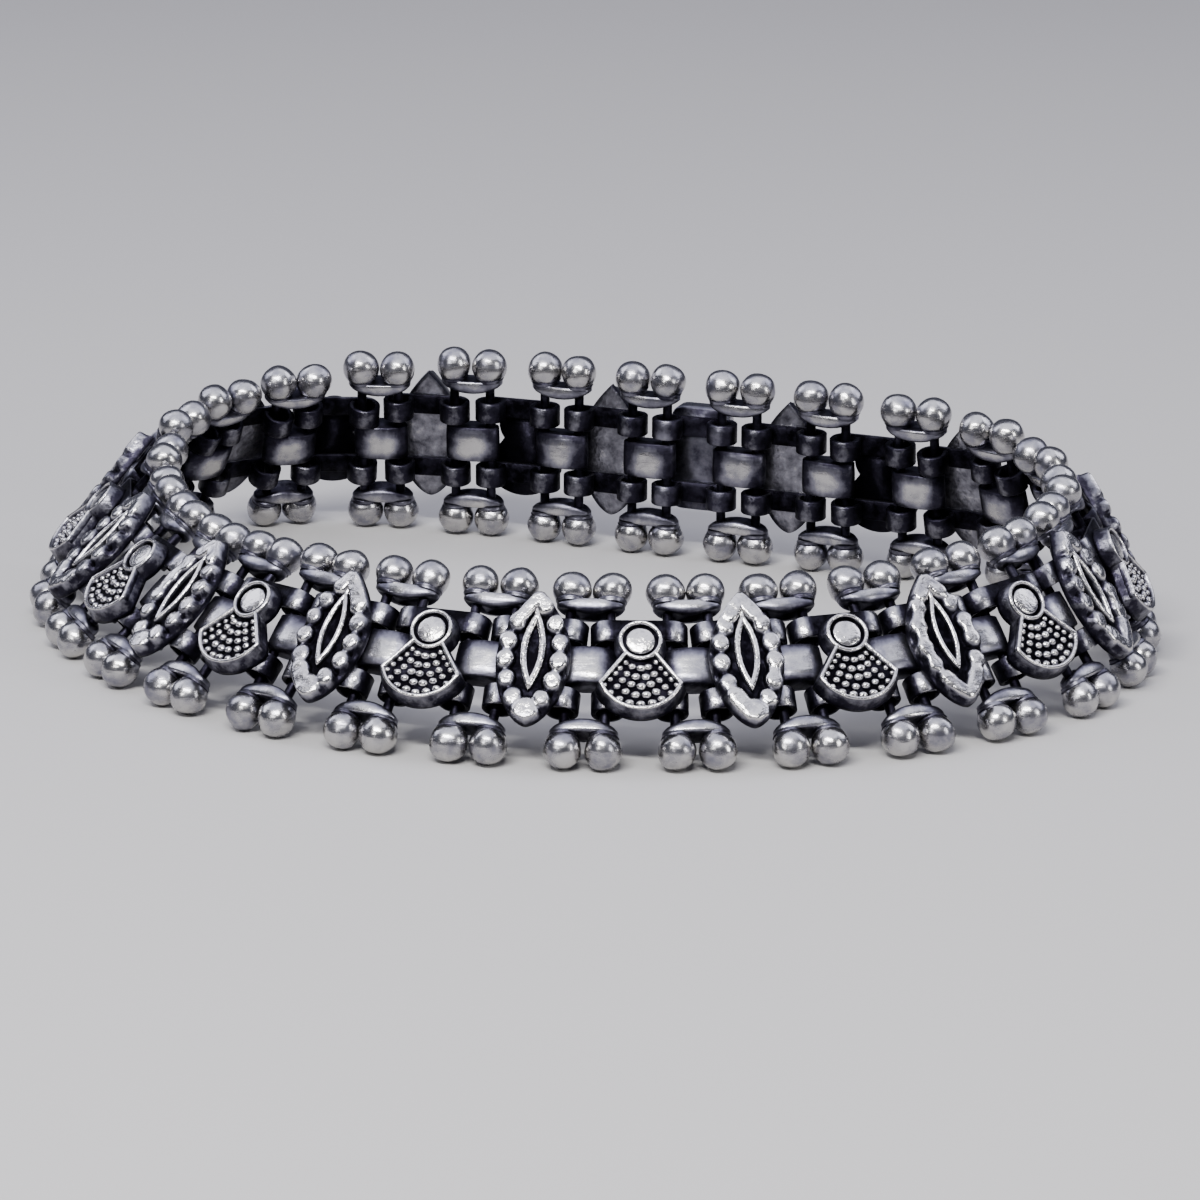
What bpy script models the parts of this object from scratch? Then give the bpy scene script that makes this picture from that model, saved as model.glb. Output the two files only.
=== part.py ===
"""Chain bracelet of oxidised silver, fastened into a loop and lying on its lower row of balls.

Upright connectors and decorated links take turns round the loop. Each connector carries
two pins with a ball at both ends, and the rolled straps behind each link turn on the pins.
Piece frame: X along the band, Y to the inside of the loop, Z along the pins, upwards.
"""
import math
from collections import namedtuple

import bmesh
import bpy
from mathutils import Matrix, Vector

MM = 0.001

# The loop
STATIONS = 28                 # connectors in the loop, with one link after each
CLASP_STATION = 19            # the link at the far side that is the plain clasp
PIN_SPACING = 2.76 * MM       # between the two pins of a connector
EYE_SPACING = 4.34 * MM       # between the two eyes of a link
# The route of the band's middle, seen from above, with the lean of the band towards the
# inside. Places are shares of one connector and one link together.
Waypoint = namedtuple("Waypoint", "x y lean_degrees")
ROUTE = (
    Waypoint(-5.05, 0.40, 46.0),
    Waypoint(-4.24, -1.53, 49.0),
    Waypoint(-2.88, -2.89, 45.0),
    Waypoint(-1.07, -3.63, 44.0),
    Waypoint(0.86, -3.73, 45.0),
    Waypoint(2.85, -3.19, 46.0),
    Waypoint(4.52, -1.94, 37.0),
    Waypoint(5.11, 0.00, 30.0),
    Waypoint(4.26, 1.61, 19.0),
    Waypoint(2.42, 2.40, 3.0),
    Waypoint(0.44, 3.02, 0.0),
    Waypoint(-1.54, 3.58, 4.0),
    Waypoint(-3.51, 3.53, 24.0),
    Waypoint(-4.82, 2.35, 33.0),
)
CURVE_STEPS = 40              # samples of the route between two of its points

# Connector
BALL_RADIUS = 1.35 * MM
BALL_RISE = 6.10 * MM         # from the band's middle to a ball's centre
BALL_SHOULDER = math.radians(50.0)
PIN_RADIUS = 0.20 * MM
PIN_SIDES = 5                 # a ball has twice as many sides
PLATE_WIDTH = 4.70 * MM
PLATE_FRONT = 0.60 * MM       # from the pins outwards
PLATE_BACK = 0.95 * MM        # from the pins inwards
PLATE_INNER = 3.95 * MM       # from the band's middle to the plate
PLATE_THICKNESS = 0.96 * MM
SLEEVE_WIDTH = 4.10 * MM
SLEEVE_HEIGHT = 2.70 * MM
SLEEVE_FRONT = 0.88 * MM
SLEEVE_BACK = 0.85 * MM

# Rolled straps behind each link
EYE_CLEARANCE = 0.50 * MM     # between a pin and the flats of the eye round it
STRAP_THICKNESS = 0.28 * MM
STRAP_HEIGHT = 1.55 * MM
STRAP_GAP = 0.45 * MM         # between a strap and the connector's sleeve
ROLL_POINTS = 5
ROLL_START = math.radians(-90.0)
ROLL_END = math.radians(210.0)

# Marquise link
BODY_OVERLAP = 0.08 * MM      # a link's body into its straps, where they are soldered
LINK_DEPTH = 1.20 * MM        # from the straps to the rim
MARQUISE_HEIGHT = 10.24 * MM
MARQUISE_WIDTH = 5.10 * MM
MARQUISE_SIDE_STEPS = 5
MARQUISE_SLOPE = 0.25 * MM    # how far the walls lean in
MARQUISE_BORDER = 0.95 * MM
RECESS_DEPTH = 0.45 * MM
RING_HEIGHT = 4.95 * MM
RING_WIDTH = 1.70 * MM
RING_SIDE_STEPS = 3
RING_RISE = 0.30 * MM

# Fan link
DISC_RADIUS = 1.50 * MM       # rim of the round head
DISC_HEIGHT = 1.22 * MM       # its centre above the band's middle
FAN_WIDTH = 5.70 * MM
FAN_TIP_DROP = 2.05 * MM      # the fan's tips below the band's middle
FAN_BOTTOM_DROP = 4.07 * MM
FAN_NECK = 1.12 * MM          # half the width where the fan leaves the head
FAN_SLOPE = 0.16 * MM
RIM_WIDTH = 0.26 * MM
HEAD_STEPS = 6
HEAD_SIDES = 8                # of the sunk field of the head
FAN_STEPS = 5

# Clasp
CLASP_WIDTH = 4.60 * MM
CLASP_HEIGHT = 8.00 * MM
CLASP_DEPTH = 1.60 * MM

# Finishes: name, colour, roughness
SILVER_METALLIC = 1.0
POLISHED = ("silver_polished", (0.62, 0.61, 0.60), 0.22)
OXIDISED = ("silver_oxidised", (0.30, 0.29, 0.30), 0.34)

EYE_RADIUS = (EYE_CLEARANCE + PIN_RADIUS) / math.cos((ROLL_END - ROLL_START) / (ROLL_POINTS - 1) / 2)
STRAP_FRONT = EYE_RADIUS + STRAP_THICKNESS
STRAP_INNER = SLEEVE_HEIGHT / 2 + STRAP_GAP
RIM_FRONT = STRAP_FRONT + LINK_DEPTH
PITCH = PIN_SPACING + EYE_SPACING


def clear_scene():
    """Remove what the scene holds."""
    for thing in list(bpy.data.objects):
        bpy.data.objects.remove(thing, do_unlink=True)


def finish(spec):
    """A Principled material for one state of the silver."""
    name, colour, roughness = spec
    material = bpy.data.materials.new(name)
    material.use_nodes = True
    shader = material.node_tree.nodes["Principled BSDF"]
    shader.inputs["Base Color"].default_value = (*colour, 1.0)
    shader.inputs["Metallic"].default_value = SILVER_METALLIC
    shader.inputs["Roughness"].default_value = roughness
    return material


# Solids

def solid(loops, name="solid"):
    """A closed body through loops of equal length, capped at both ends."""
    mesh = bpy.data.meshes.new(name)
    bm = bmesh.new()
    rings = [[bm.verts.new(point) for point in loop] for loop in loops]
    for low, high in zip(rings, rings[1:]):
        for i in range(len(low)):
            j = (i + 1) % len(low)
            bm.faces.new((low[i], low[j], high[j], high[i]))
    bm.faces.new(list(reversed(rings[0])))
    bm.faces.new(rings[-1])
    bmesh.ops.recalc_face_normals(bm, faces=bm.faces)
    bm.to_mesh(mesh)
    bm.free()
    return mesh


def upright(outline, low, high):
    """A prism along Z of an outline in X and Y."""
    return solid([[(x, y, z) for x, y in outline] for z in (low, high)])


def facing(levels):
    """A body of outlines in X and Z, each given with its Y, from the back to the front."""
    return solid([[(x, y, z) for x, z in outline] for outline, y in levels])


def band(bm, low, high):
    """Faces between two loops of as many points."""
    for i in range(len(low)):
        j = (i + 1) % len(low)
        bm.faces.new((low[i], low[j], high[j], high[i]))


def fill(bm, *loops):
    """A flat face inside the first loop, with a hole at each of the others."""
    edges = [bm.edges.get((loop[i - 1], loop[i])) for loop in loops for i in range(len(loop))]
    bmesh.ops.triangle_fill(bm, use_beauty=True, use_dissolve=False, edges=edges)


def ball(bm, foot, centre):
    """A ball with ten sides on a foot loop of five points; it points away from the foot."""
    half = len(foot)
    away = 1 if centre.z > foot[0].co.z else -1

    def ring(count, radius, height):
        turn = 2 * math.pi / count
        return [bm.verts.new(centre + Vector((radius * math.cos(i * turn), radius * math.sin(i * turn),
                                              height * away))) for i in range(count)]

    crown = bm.verts.new(centre + Vector((0.0, 0.0, BALL_RADIUS * away)))
    upper = ring(half, BALL_RADIUS * math.cos(BALL_SHOULDER), BALL_RADIUS * math.sin(BALL_SHOULDER))
    waist = ring(2 * half, BALL_RADIUS, 0.0)
    for i in range(half):
        j = (i + 1) % half
        a = 2 * i
        b = a + 1
        c = (a + 2) % (2 * half)
        bm.faces.new((crown, upper[i], upper[j]))
        for few in (upper, foot):
            bm.faces.new((few[i], waist[a], waist[b]))
            bm.faces.new((few[i], waist[b], few[j]))
            bm.faces.new((few[j], waist[b], waist[c]))


def apply_booleans(name, base, others, operation="UNION"):
    """One mesh made of a base and others that overlap it clearly, or are cut from it."""
    body = bpy.data.objects.new(name, base)
    bpy.context.scene.collection.objects.link(body)
    helpers = []
    for mesh in others:
        helper = bpy.data.objects.new("helper", mesh)
        bpy.context.scene.collection.objects.link(helper)
        helper.hide_render = True
        helper.display_type = "WIRE"
        join = body.modifiers.new("join", "BOOLEAN")
        join.operation = operation
        join.solver = "EXACT"
        join.object = helper
        helpers.append(helper)
    evaluated = body.evaluated_get(bpy.context.evaluated_depsgraph_get())
    result = bpy.data.meshes.new_from_object(evaluated)
    for thing in (body, *helpers):
        bpy.data.objects.remove(thing, do_unlink=True)
    result.name = name
    return result


# Outlines

def arc(centre, radius, start, end, steps):
    """Points on an arc, both ends included; angles in radians."""
    return [(centre[0] + radius * math.cos(start + (end - start) * i / steps),
             centre[1] + radius * math.sin(start + (end - start) * i / steps))
            for i in range(steps + 1)]


def marquise(height, width, steps):
    """A pointed oval of two arcs."""
    a, b = height / 2, width / 2
    radius = (a * a + b * b) / (2 * b)
    half_angle = math.asin(a / radius)
    right = arc((b - radius, 0.0), radius, -half_angle, half_angle, steps)
    left = arc((radius - b, 0.0), radius, math.pi - half_angle, math.pi + half_angle, steps)
    return right[:-1] + left[:-1]


def head_and_fan(margin):
    """Outline of the round head over the fan, grown by a margin; it runs anticlockwise."""
    radius = DISC_RADIUS + margin
    neck = math.acos(min(1.0, (FAN_NECK + margin) / radius))
    head = arc((0.0, DISC_HEIGHT), radius, -neck, math.pi + neck, HEAD_STEPS)
    half = FAN_WIDTH / 2
    sag = FAN_BOTTOM_DROP - FAN_TIP_DROP
    bottom_radius = (half * half + sag * sag) / (2 * sag)
    reach = math.asin(min(1.0, half / bottom_radius))
    bottom = arc((0.0, bottom_radius - FAN_BOTTOM_DROP), bottom_radius + margin,
                 -math.pi / 2 - reach, -math.pi / 2 + reach, FAN_STEPS)
    return head + bottom


def fan_field(margin):
    """The sunk field of the fan inside its rim."""
    half = FAN_WIDTH / 2
    sag = FAN_BOTTOM_DROP - FAN_TIP_DROP
    bottom_radius = (half * half + sag * sag) / (2 * sag)
    reach = math.asin(min(1.0, half / bottom_radius)) - margin / bottom_radius
    bottom = arc((0.0, bottom_radius - FAN_BOTTOM_DROP), bottom_radius - margin,
                 -math.pi / 2 - reach, -math.pi / 2 + reach, FAN_STEPS)
    neck_y = DISC_HEIGHT - math.sqrt(DISC_RADIUS ** 2 - FAN_NECK ** 2) - margin
    return bottom + [(FAN_NECK - margin, neck_y), (margin - FAN_NECK, neck_y)]


def rounded_plate(width, front, back):
    """Plan of a plate or sleeve: straight inside, rounded outwards."""
    half = width / 2
    return [(-half, back), (-half, -0.25 * front), (-0.55 * half, -front),
            (0.55 * half, -front), (half, -0.25 * front), (half, back)]


# Pieces

def connector_mesh():
    """Four balls, two end plates, two pins and the middle sleeve, soldered together."""
    bm = bmesh.new()
    plate_top = PLATE_INNER + PLATE_THICKNESS
    foot_radius = math.sqrt(BALL_RADIUS ** 2 - (BALL_RISE - plate_top) ** 2)
    plate = rounded_plate(PLATE_WIDTH, PLATE_FRONT, PLATE_BACK)
    sleeve = rounded_plate(SLEEVE_WIDTH, SLEEVE_FRONT, SLEEVE_BACK)

    def loop(outline, height):
        return [bm.verts.new((x, y, height)) for x, y in outline]

    def rounds(radius, height):
        return [loop(arc((side * PIN_SPACING / 2, 0.0), radius, 0.0, 2 * math.pi, PIN_SIDES)[:-1], height)
                for side in (-1, 1)]

    sleeve_ends = []
    for up in (-1, 1):
        inner, outer = loop(plate, up * PLATE_INNER), loop(plate, up * plate_top)
        sleeve_end = loop(sleeve, up * SLEEVE_HEIGHT / 2)
        feet = rounds(foot_radius, up * plate_top)
        pins_out, pins_in = rounds(PIN_RADIUS, up * PLATE_INNER), rounds(PIN_RADIUS, up * SLEEVE_HEIGHT / 2)
        band(bm, inner, outer)
        for side, foot, pin_out, pin_in in zip((-1, 1), feet, pins_out, pins_in):
            band(bm, pin_in, pin_out)
            ball(bm, foot, Vector((side * PIN_SPACING / 2, 0.0, up * BALL_RISE)))
        sleeve_ends.append((sleeve_end, pins_in))
        fill(bm, outer, *feet)
        fill(bm, inner, *pins_out)
    band(bm, sleeve_ends[0][0], sleeve_ends[1][0])
    for sleeve_end, pins_in in sleeve_ends:
        fill(bm, sleeve_end, *pins_in)
    bmesh.ops.recalc_face_normals(bm, faces=bm.faces)
    mesh = bpy.data.meshes.new("connector")
    bm.to_mesh(mesh)
    bm.free()
    return mesh


def strap_mesh(low):
    """A strap behind the link whose two ends are rolled into eyes round the pins."""
    eye = EYE_SPACING / 2
    outer = arc((eye, 0.0), STRAP_FRONT, ROLL_START, ROLL_END, ROLL_POINTS - 1)
    inner = arc((eye, 0.0), EYE_RADIUS, ROLL_END, ROLL_START, ROLL_POINTS - 1)
    right = outer + inner
    left = [(-x, y) for x, y in reversed(right)]
    return upright(right + left, low, low + STRAP_HEIGHT)


def straps():
    """The upper and the lower strap."""
    return [strap_mesh(STRAP_INNER), strap_mesh(-STRAP_INNER - STRAP_HEIGHT)]


def link_mesh(name, body, cuts, raised):
    """A link: its body on the two straps, with its fields sunk and its relief raised."""
    if cuts:
        body = apply_booleans(name, body, cuts, "DIFFERENCE")
    return apply_booleans(name, body, raised + straps())


def marquise_mesh():
    """The pointed oval link with a raised border and a raised oval ring in its field."""
    back = -(STRAP_FRONT - BODY_OVERLAP)
    front = -RIM_FRONT
    floor = front + RECESS_DEPTH
    outside = marquise(MARQUISE_HEIGHT, MARQUISE_WIDTH, MARQUISE_SIDE_STEPS)
    slope = MARQUISE_SLOPE
    rim = marquise(MARQUISE_HEIGHT - 3 * slope, MARQUISE_WIDTH - 2 * slope, MARQUISE_SIDE_STEPS)
    field = marquise(MARQUISE_HEIGHT - 3 * slope - 4 * MARQUISE_BORDER,
                     MARQUISE_WIDTH - 2 * slope - 2 * MARQUISE_BORDER, MARQUISE_SIDE_STEPS)
    body = facing([(outside, back), (rim, front)])
    cut = facing([(field, floor), (field, front - LINK_DEPTH)])
    ring = marquise(RING_HEIGHT, RING_WIDTH, RING_SIDE_STEPS)
    raised = facing([(ring, floor + RECESS_DEPTH / 2), (ring, floor - RING_RISE)])
    return link_mesh("marquise", body, [cut], [raised])


def fan_mesh():
    """The round head over a fan, each with a sunk field inside a thin rim."""
    back = -(STRAP_FRONT - BODY_OVERLAP)
    front = -RIM_FRONT
    floor = front + RECESS_DEPTH
    body = facing([(head_and_fan(FAN_SLOPE), back), (head_and_fan(0.0), front)])
    head = arc((0.0, DISC_HEIGHT), DISC_RADIUS - RIM_WIDTH, 0.0, 2 * math.pi, HEAD_SIDES)[:-1]
    fan = fan_field(RIM_WIDTH)
    cuts = [facing([(outline, floor), (outline, front - LINK_DEPTH)]) for outline in (head, fan)]
    return link_mesh("fan", body, cuts, [])


def clasp_mesh():
    """A plain box clasp on the same straps."""
    back = -(STRAP_FRONT - BODY_OVERLAP)
    half_w, half_h = CLASP_WIDTH / 2, CLASP_HEIGHT / 2
    outline = [(-half_w, -half_h), (half_w, -half_h), (half_w, half_h), (-half_w, half_h)]
    body = facing([(outline, back), (outline, -STRAP_FRONT - CLASP_DEPTH)])
    return link_mesh("clasp", body, [], [])


# The loop

def route_points():
    """The closed route as many samples (x, y, lean), by a smooth curve through its rows."""
    rows = [Vector((row.x, row.y, math.radians(row.lean_degrees))) for row in ROUTE]
    count = len(rows)
    samples = []
    for i in range(count):
        a, b, c, d = (rows[(i + k) % count] for k in (-1, 0, 1, 2))
        for step in range(CURVE_STEPS):
            t = step / CURVE_STEPS
            samples.append(0.5 * (2 * b + (c - a) * t + (2 * a - 5 * b + 4 * c - d) * t * t
                                  + (3 * b - a - 3 * c + d) * t ** 3))
    return samples


def walk(samples, scale):
    """Step round the scaled route with the two spacings in turn; give the pins and the lap."""
    count = len(samples)

    def at(place):
        low = int(math.floor(place))
        share = place - low
        a, b = samples[low % count], samples[(low + 1) % count]
        mixed = a.lerp(b, share)
        return Vector((mixed.x * scale, mixed.y * scale, mixed.z))

    place = 0.0
    pins = [at(place)]
    for hop in range(2 * STATIONS):
        span = PIN_SPACING if hop % 2 == 0 else EYE_SPACING
        here = pins[-1].xy
        low, high = place, place + count / 4
        while high - low > 1e-7:
            middle = (low + high) / 2
            if (at(middle).xy - here).length < span:
                low = middle
            else:
                high = middle
        place = high
        pins.append(at(place))
    return pins[:-1], place / count


def fitted_pins():
    """The pins of a route scaled so that the last link meets the first connector."""
    samples = route_points()
    low, high = 0.5 * PITCH, 1.5 * PITCH
    for _ in range(50):
        scale = (low + high) / 2
        lap = walk(samples, scale)[1]
        if lap > 1.0:
            low = scale
        else:
            high = scale
    return walk(samples, scale)[0]


def frame(along, up, centre):
    """A piece's matrix from its pins' direction, the way along the band and its centre."""
    z = up.normalized()
    x = (along - z * along.dot(z)).normalized()
    y = z.cross(x)
    turned = Matrix((x, y, z)).transposed().to_4x4()
    return Matrix.Translation(centre) @ turned


def station_frames():
    """Frames of the connectors, and of the links between them."""
    pins = fitted_pins()
    connectors = []
    for k in range(STATIONS):
        a, b = pins[2 * k], pins[2 * k + 1]
        along = Vector((b.x - a.x, b.y - a.y, 0.0)).normalized()
        inside = Vector((-along.y, along.x, 0.0))
        lean = (a.z + b.z) / 2
        up = math.cos(lean) * Vector((0.0, 0.0, 1.0)) + math.sin(lean) * inside
        height = BALL_RADIUS + BALL_RISE * math.cos(lean)
        connectors.append(frame(along, up, Vector(((a.x + b.x) / 2, (a.y + b.y) / 2, height))))
    links = []
    reach = Vector((PIN_SPACING / 2, 0.0, 0.0))
    for k in range(STATIONS):
        here, there = connectors[k], connectors[(k + 1) % STATIONS]
        start, end = here @ reach, there @ -reach
        links.append(frame(end - start, here.col[2].xyz + there.col[2].xyz, (start + end) / 2))
    return connectors, links


def place(name, mesh, matrix, group):
    """One object of the bracelet, parented to the group's empty; gives its corners."""
    piece = bpy.data.objects.new(name, mesh)
    bpy.context.scene.collection.objects.link(piece)
    piece.parent = group
    piece.location, piece.rotation_euler = matrix.to_translation(), matrix.to_euler()
    return [matrix @ vertex.co for vertex in mesh.vertices]


def build():
    """Make the four kinds of piece, set them round the loop and stand the loop on the floor."""
    clear_scene()
    polished, oxidised = finish(POLISHED), finish(OXIDISED)
    kinds = {"connector": (connector_mesh(), polished), "marquise": (marquise_mesh(), oxidised),
             "fan": (fan_mesh(), oxidised), "clasp": (clasp_mesh(), polished)}
    for mesh, material in kinds.values():
        mesh.materials.clear()
        mesh.materials.append(material)
        mesh.shade_smooth()
        mesh.set_sharp_from_angle(angle=math.radians(35.0))
    group = bpy.data.objects.new("bracelet", None)
    bpy.context.scene.collection.objects.link(group)
    connectors, links = station_frames()
    corners = []
    made = {"marquise": 0, "fan": 0}
    for k in range(STATIONS):
        corners.extend(place(f"connector_{k + 1:02d}", kinds["connector"][0], connectors[k], group))
        kind = "clasp" if k == CLASP_STATION else ("marquise", "fan")[k % 2]
        name = kind
        if kind in made:
            made[kind] += 1
            name = f"{kind}_{made[kind]:02d}"
        corners.extend(place(name, kinds[kind][0], links[k], group))
    low = Vector(min(corner[i] for corner in corners) for i in range(3))
    high = Vector(max(corner[i] for corner in corners) for i in range(3))
    group.location = (-(low.x + high.x) / 2, -(low.y + high.y) / 2, -low.z)


build()
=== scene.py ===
# %% [markdown]
# # A chain bracelet of oxidised silver
# The bracelet lies closed on its lower row of balls. Upright connectors, each with a pair of
# balls at both ends, take turns with two kinds of cast link: a pointed oval with a beaded
# border, and a fan of granules under a round head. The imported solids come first, because they
# fix every place and size. Each solid is then replaced by a finer piece in the same place.

# %% The fixed frame
import math
import random
from collections import namedtuple

import bpy
import numpy as np
from mathutils import Matrix, Vector, noise


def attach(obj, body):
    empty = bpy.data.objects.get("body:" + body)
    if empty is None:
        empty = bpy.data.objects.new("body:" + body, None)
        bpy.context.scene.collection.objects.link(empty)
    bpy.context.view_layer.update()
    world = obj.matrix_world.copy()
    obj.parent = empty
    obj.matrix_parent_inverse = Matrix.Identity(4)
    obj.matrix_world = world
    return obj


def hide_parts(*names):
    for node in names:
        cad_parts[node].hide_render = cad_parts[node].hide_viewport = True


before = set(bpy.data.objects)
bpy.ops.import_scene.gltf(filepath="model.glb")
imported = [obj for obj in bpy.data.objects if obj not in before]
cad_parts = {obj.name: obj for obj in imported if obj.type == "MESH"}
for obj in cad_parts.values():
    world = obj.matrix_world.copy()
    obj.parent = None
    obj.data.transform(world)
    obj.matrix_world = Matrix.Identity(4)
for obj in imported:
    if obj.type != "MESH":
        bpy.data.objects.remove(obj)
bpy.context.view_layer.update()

MM = 0.001

# %% [markdown]
# ## Where each piece sits
# The band is a closed chain: pins stand in pairs, 2.76 mm apart inside a connector and
# 4.34 mm apart across a link. The loop was laid by hand, so its line is a little uneven and
# its front leans back more than its far side. Fourteen waypoints hold that line and lean,
# their x and y counted in hops of about one connector and one link. We could read a place off
# each solid instead, but then nothing would say why it is there.

# %% Measures and route of the band
STATIONS = 28
CLASP_STATION = 19
PIN_SPACING = 2.76 * MM
EYE_SPACING = 4.34 * MM
PITCH = PIN_SPACING + EYE_SPACING
BALL_RADIUS = 1.35
BALL_RISE = 6.10
Waypoint = namedtuple("Waypoint", "x y lean_degrees")
ROUTE = (
    Waypoint(-5.05, 0.40, 46.0),
    Waypoint(-4.24, -1.53, 49.0),
    Waypoint(-2.88, -2.89, 45.0),
    Waypoint(-1.07, -3.63, 44.0),
    Waypoint(0.86, -3.73, 45.0),
    Waypoint(2.85, -3.19, 46.0),
    Waypoint(4.52, -1.94, 37.0),
    Waypoint(5.11, 0.00, 30.0),
    Waypoint(4.26, 1.61, 19.0),
    Waypoint(2.42, 2.40, 3.0),
    Waypoint(0.44, 3.02, 0.0),
    Waypoint(-1.54, 3.58, 4.0),
    Waypoint(-3.51, 3.53, 24.0),
    Waypoint(-4.82, 2.35, 33.0),
)
print("waypoints:", len(ROUTE), "for", STATIONS, "connectors and as many links")

# %% [markdown]
# ## Walking the route
# The real loop is made of stiff links, so its length is a whole number of them. We walk the
# route as with a pair of compasses: one hop for a connector, one for a link, and the route's
# size is changed until the last hop ends where the first began. A curve object in Blender
# could draw the line, but it gives no hops of equal straight length, so the line is plain
# numbers and each hop's end is found by halving the stretch in which it lies.

# %% A smooth line through the waypoints
CURVE_STEPS = 40


def route_points():
    """The closed route as many samples (x, y, lean), on a smooth curve through the waypoints."""
    rows = [Vector((row.x, row.y, math.radians(row.lean_degrees))) for row in ROUTE]
    count = len(rows)
    samples = []
    for i in range(count):
        before, start, end, after = (rows[(i + k) % count] for k in (-1, 0, 1, 2))
        for step in range(CURVE_STEPS):
            t = step / CURVE_STEPS
            samples.append(0.5 * (2 * start + (end - before) * t
                                  + (2 * before - 5 * start + 4 * end - after) * t * t
                                  + (3 * start - before - 3 * end + after) * t ** 3))
    return samples


print("samples of the route:", len(route_points()))

# %% Hops round the loop
PLACE_TOLERANCE = 1e-7
SCALE_TRIES = 50


def walk(samples, scale):
    """Step round the scaled route with the two spacings in turn; give the pins and the lap."""
    count = len(samples)

    def at(place):
        low = int(math.floor(place))
        mixed = samples[low % count].lerp(samples[(low + 1) % count], place - low)
        return Vector((mixed.x * scale, mixed.y * scale, mixed.z))

    place = 0.0
    found = [at(place)]
    for hop in range(2 * STATIONS):
        span = PIN_SPACING if hop % 2 == 0 else EYE_SPACING
        low, high = place, place + count / 4
        while high - low > PLACE_TOLERANCE:
            middle = (low + high) / 2
            if (at(middle).xy - found[-1].xy).length < span:
                low = middle
            else:
                high = middle
        place = high
        found.append(at(place))
    return found[:-1], place / count


def fitted_pins():
    """The pins of a route scaled so that the last link meets the first connector."""
    samples = route_points()
    low, high = 0.5 * PITCH, 1.5 * PITCH
    for _ in range(SCALE_TRIES):
        scale = (low + high) / 2
        if walk(samples, scale)[1] > 1.0:
            low = scale
        else:
            high = scale
    return walk(samples, scale)[0]


pins = fitted_pins()
print("pins round the loop:", len(pins))

# %% [markdown]
# ## A matrix for every piece
# Blender keeps an object's place and turn in one matrix of four columns: three directions and
# a point. A piece's own directions are X along the band, Y to the inside of the loop and Z up
# along the pins. A connector's top leans to the inside by the angle that the route gives. A
# link hangs between two connectors, so it takes the middle of their leans.

# %% Places of connectors and links


def stand(along, up, centre):
    """A piece's matrix from its pins' direction, the way along the band and its centre."""
    z = up.normalized()
    x = (along - z * along.dot(z)).normalized()
    y = z.cross(x)
    return Matrix.Translation(centre) @ Matrix((x, y, z)).transposed().to_4x4()


connector_places, link_places = [], []
for k in range(STATIONS):
    a, b = pins[2 * k], pins[2 * k + 1]
    along = Vector((b.x - a.x, b.y - a.y, 0.0)).normalized()
    inside = Vector((-along.y, along.x, 0.0))
    lean = (a.z + b.z) / 2
    up = math.cos(lean) * Vector((0.0, 0.0, 1.0)) + math.sin(lean) * inside
    height = (BALL_RADIUS + BALL_RISE * math.cos(lean)) * MM
    connector_places.append(stand(along, up, Vector(((a.x + b.x) / 2, (a.y + b.y) / 2, height))))
reach = Vector((PIN_SPACING / 2, 0.0, 0.0))
for k in range(STATIONS):
    here, there = connector_places[k], connector_places[(k + 1) % STATIONS]
    start, end = here @ reach, there @ -reach
    link_places.append(stand(end - start, here.col[2].xyz + there.col[2].xyz, (start + end) / 2))
print("places:", len(connector_places), "connectors and", len(link_places), "links")

# %% The loop moved onto its solids
# The walk starts at its own zero. The solids say how far the whole loop was then moved: a
# connector is the same to both sides and to both ends, so its middle is known from its corners.
directions, gaps = [], []
for k, place in enumerate(connector_places):
    corners = np.array([v.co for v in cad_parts[f"connector_{k + 1:02d}"].data.vertices])
    for axis in (0, 2):
        direction = np.array(place.col[axis].xyz)
        spread = corners @ direction
        directions.append(direction)
        gaps.append((spread.min() + spread.max()) / 2 - direction @ np.array(place.translation))
shift = Vector(np.linalg.lstsq(np.array(directions), np.array(gaps), rcond=None)[0])
for place in connector_places + link_places:
    place.translation += shift
print("loop moved by", [round(value / MM, 3) for value in shift], "mm")

# %% [markdown]
# ## A workshop of small shapes
# Silver like this is built from few forms: turned balls and pins, sheet bent round a pin,
# rims of wire and cast relief. Each form is made here as plain numbers, in millimetres:
# points, faces, and one more number at each point that says how rubbed the metal is there,
# from 0 in a recess that keeps its black to 1 on a high spot that every touch polishes.
# Modelling tools could make these shapes too, but numbers keep that wear with the shape.

# %% Turned and lofted bodies


def turned(profile, centre, sides, outward=False):
    """A body turned about Z, or about the outward way; profile rows are radius, height, wear."""
    points, faces, wear, rings = [], [], [], []
    for radius, height, rubbed in profile:
        count = 1 if radius == 0 else sides
        rings.append(list(range(len(points), len(points) + count)))
        for i in range(count):
            turn = 2 * math.pi * i / sides
            a, b = radius * math.cos(turn), radius * math.sin(turn)
            points.append((a, -height, b) if outward else (a, b, height))
            wear.append(rubbed)
    for low, high in zip(rings, rings[1:]):
        for i in range(sides):
            j = (i + 1) % sides
            if len(low) == 1:
                faces.append((low[0], high[j], high[i]))
            elif len(high) == 1:
                faces.append((low[i], low[j], high[0]))
            else:
                faces.append((low[i], low[j], high[j], high[i]))
    return np.array(points) + np.array(centre), faces, np.array(wear)


def lofted(loops, wear, capped=(True, True)):
    """A skin through loops of equal length, with flat ends where capped."""
    count = len(loops[0])
    points = np.vstack(loops)
    faces = []
    for level in range(len(loops) - 1):
        base = level * count
        for i in range(count):
            j = (i + 1) % count
            faces.append((base + i, base + j, base + count + j, base + count + i))
    if capped[0]:
        faces.append(tuple(reversed(range(count))))
    if capped[1]:
        faces.append(tuple(range(len(points) - count, len(points))))
    return points, faces, np.repeat(np.array(wear, float), count)


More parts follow.
